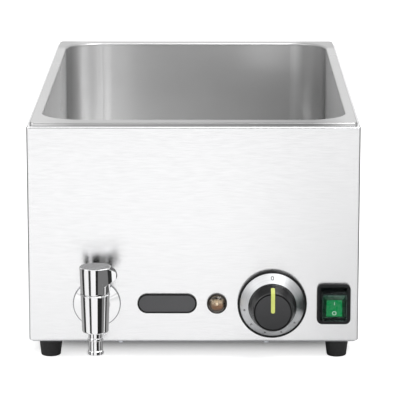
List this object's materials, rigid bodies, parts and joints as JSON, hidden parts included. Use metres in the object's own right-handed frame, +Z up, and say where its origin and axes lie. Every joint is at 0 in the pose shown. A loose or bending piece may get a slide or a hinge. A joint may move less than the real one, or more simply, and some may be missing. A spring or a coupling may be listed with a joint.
{
  "type": "bain marie",
  "caption": "Counter-top bain marie: brushed steel casing round a deep rectangular water well for a full-size gastronorm pan, with drain tap, thermostat dial, lamp and covered switch.",
  "frame": {"origin": "on the counter, under the middle of the overall footprint, tap and gland included", "axes": "+Z up, the front with the controls faces -Y, +X to the right seen from the front"},
  "size_m": [0.338, 0.6038, 0.248],
  "materials": {
    "casing_steel": "brushed stainless sheet",
    "well_steel": "satin deep-drawn stainless",
    "base_steel": "plain stainless sheet",
    "fastener_steel": "zinc-plated",
    "seal_silicone": "grey silicone",
    "foot_rubber": "moulded black rubber",
    "tap_chrome": "polished chrome plating",
    "brass": "machined brass",
    "ball_steel": "polished steel",
    "seat_ptfe": "white seat ring",
    "black_rubber": "black seal",
    "drain_steel": "turned stainless",
    "element_steel": "annealed sheath",
    "insulator_ceramic": "unglazed",
    "shield_aluminium": "plain sheet",
    "capillary_copper": "drawn copper tube",
    "cutout_plastic": "black phenolic",
    "thermostat_plastic": "cream phenolic",
    "dial_black": "moulded black",
    "scale_aluminium": "spun and brushed",
    "knob_black": "moulded black",
    "pointer_inlay": "yellow-green inlay",
    "switch_black": "moulded black",
    "cover_clear": "clear soft cover",
    "rocker_green": "green, translucent",
    "lamp_black": "moulded black",
    "lens_amber": "clear amber",
    "badge_dark": "dark grey, bare",
    "gland_black": "moulded black",
    "block_white": "white",
    "wire_insulation": "silicone insulated"
  },
  "bodies": {
    "unit": {"casing": "casing_steel", "well": "well_steel", "base_plate": "base_steel", "base_screws": "fastener_steel", "foot_screws": "fastener_steel", "foot_nuts": "fastener_steel", "thermostat_screws": "fastener_steel", "clamp_nuts": "fastener_steel", "clamp_studs": "fastener_steel", "clamp_bars": "fastener_steel", "lamp_nut": "fastener_steel", "rocker_axle": "fastener_steel", "element_pins": "fastener_steel", "bulb_clip": "fastener_steel", "rim_seal": "seal_silicone", "foot_front_left": "foot_rubber", "foot_front_right": "foot_rubber", "foot_rear_left": "foot_rubber", "foot_rear_right": "foot_rubber", "tap_body": "tap_chrome", "tap_rosette": "tap_chrome", "tap_nozzle": "tap_chrome", "tap_lock_nut": "brass", "tap_bonnet": "brass", "drain_nut": "brass", "drain_elbow": "brass", "union_nut": "brass", "tap_seat": "seat_ptfe", "stem_o_ring": "black_rubber", "drain_gasket": "black_rubber", "drain_fitting": "drain_steel", "drain_strainer": "drain_steel", "heating_element": "element_steel", "element_insulators": "insulator_ceramic", "heat_shield": "shield_aluminium", "sensing_bulb": "capillary_copper", "capillary": "capillary_copper", "thermal_cutout": "cutout_plastic", "thermostat_body": "thermostat_plastic", "dial_base": "dial_black", "dial_scale": "scale_aluminium", "switch_body": "switch_black", "switch_frame": "switch_black", "switch_cover": "cover_clear", "lamp_body": "lamp_black", "lamp_lens": "lens_amber", "badge_plate": "badge_dark", "cable_gland": "gland_black", "gland_nut": "gland_black", "terminal_block": "block_white", "wires": "wire_insulation"},
    "valve": {"tap_handle": "tap_chrome", "tap_stem": "brass", "tap_ball": "ball_steel", "handle_set_screw": "fastener_steel"},
    "dial_knob": {"knob": "knob_black", "knob_pointer": "pointer_inlay", "thermostat_shaft": "fastener_steel"},
    "switch_rocker": {"rocker": "rocker_green"}
  },
  "joints": [
    {"name": "tap_turn", "type": "hinge", "parent": "unit", "child": "valve", "pos_m": [-0.099, -0.28613, 0.06], "axis": [0, 0, -1], "range_deg": [0, 90]},
    {"name": "knob_turn", "type": "hinge", "parent": "unit", "child": "dial_knob", "pos_m": [0.0805, -0.25013, 0.06], "axis": [0, 1, 0], "range_deg": [0, 262]},
    {"name": "rocker_tilt", "type": "hinge", "parent": "unit", "child": "switch_rocker", "pos_m": [0.1435, -0.25613, 0.06], "axis": [-1, 0, 0], "range_deg": [0, 14]}
  ]
}
